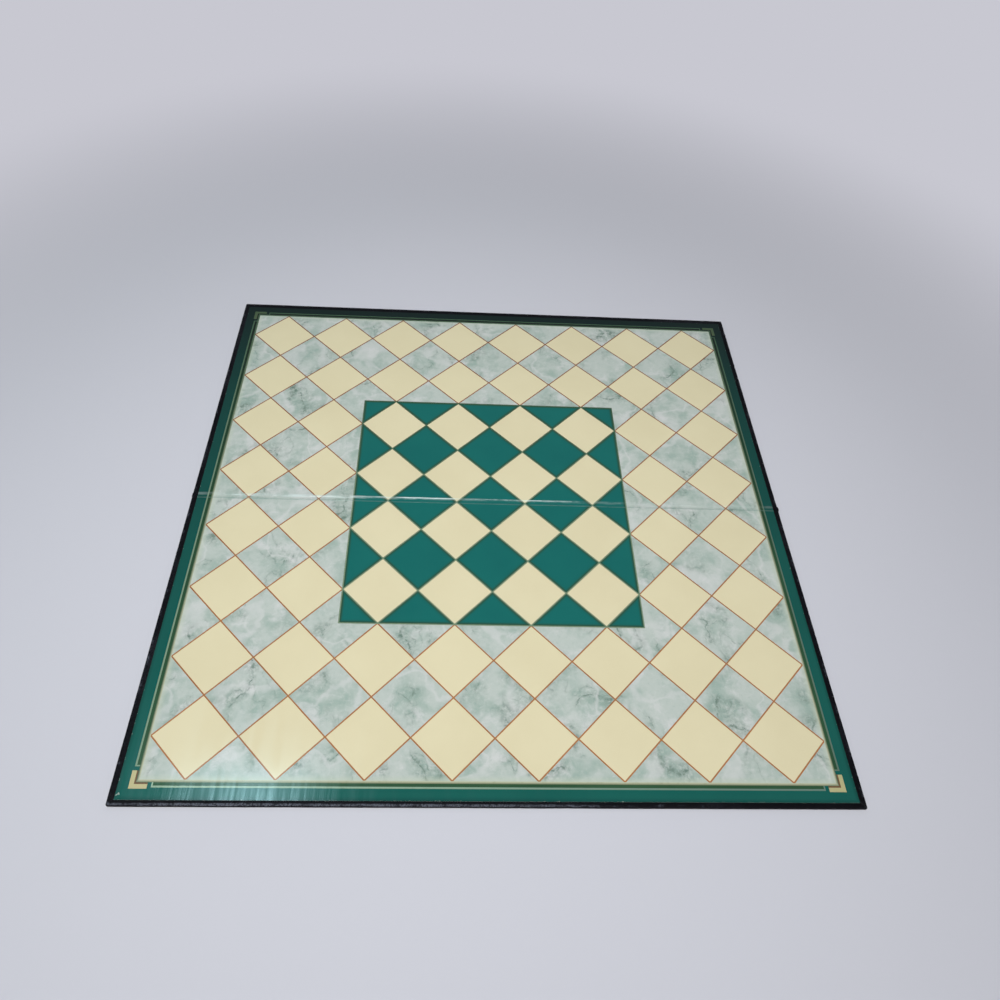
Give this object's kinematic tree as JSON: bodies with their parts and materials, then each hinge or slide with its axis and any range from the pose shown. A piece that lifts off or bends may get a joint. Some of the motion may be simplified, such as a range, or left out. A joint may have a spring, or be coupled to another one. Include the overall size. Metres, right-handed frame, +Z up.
{
  "type": "folding checkers board",
  "caption": "Square folding checkers board that opens flat on a centre fold, with cream squares set on their corners over pale marble, a green centre and a green border.",
  "frame": {"origin": "bottom centre of the open board, under the middle of the fold", "axes": "+X along the fold to the player's right, +Y to the far side, +Z up out of the printed face"},
  "size_m": [0.4634, 0.4634, 0.0029],
  "materials": {
    "greyboard": "matte",
    "black_cover": "matte",
    "white_paper": "matte",
    "marble_print": "satin",
    "cream_print": "satin",
    "centre_green_print": "satin",
    "border_green_print": "satin",
    "red_brown_print": "satin",
    "olive_print": "satin",
    "pale_line_print": "satin",
    "dark_line_print": "satin",
    "gold_print": "satin"
  },
  "bodies": {
    "front_half": {"front_core_board": "greyboard", "front_cover_paper": "black_cover", "front_cover_fold": "black_cover", "front_sheet_paper": "white_paper", "front_fold_marble": "marble_print", "front_fold_green": "border_green_print", "front_cream_squares": "cream_print", "front_marble_ground": "marble_print", "front_green_centre": "centre_green_print", "front_square_outlines": "red_brown_print", "front_centre_outlines": "olive_print", "front_green_border": "border_green_print", "front_pale_border_lines": "pale_line_print", "front_dark_border_lines": "dark_line_print", "front_gold_corners": "gold_print"},
    "rear_half": {"rear_core_board": "greyboard", "rear_cover_paper": "black_cover", "rear_cover_fold": "black_cover", "rear_sheet_paper": "white_paper", "rear_fold_marble": "marble_print", "rear_fold_green": "border_green_print", "rear_cream_squares": "cream_print", "rear_marble_ground": "marble_print", "rear_green_centre": "centre_green_print", "rear_square_outlines": "red_brown_print", "rear_centre_outlines": "olive_print", "rear_green_border": "border_green_print", "rear_pale_border_lines": "pale_line_print", "rear_dark_border_lines": "dark_line_print", "rear_gold_corners": "gold_print"}
  },
  "joints": [
    {"name": "centre_fold", "type": "hinge", "parent": "front_half", "child": "rear_half", "pos_m": [0, 0, 0.00295], "axis": [1, 0, 0], "range_deg": [0, 180]}
  ]
}
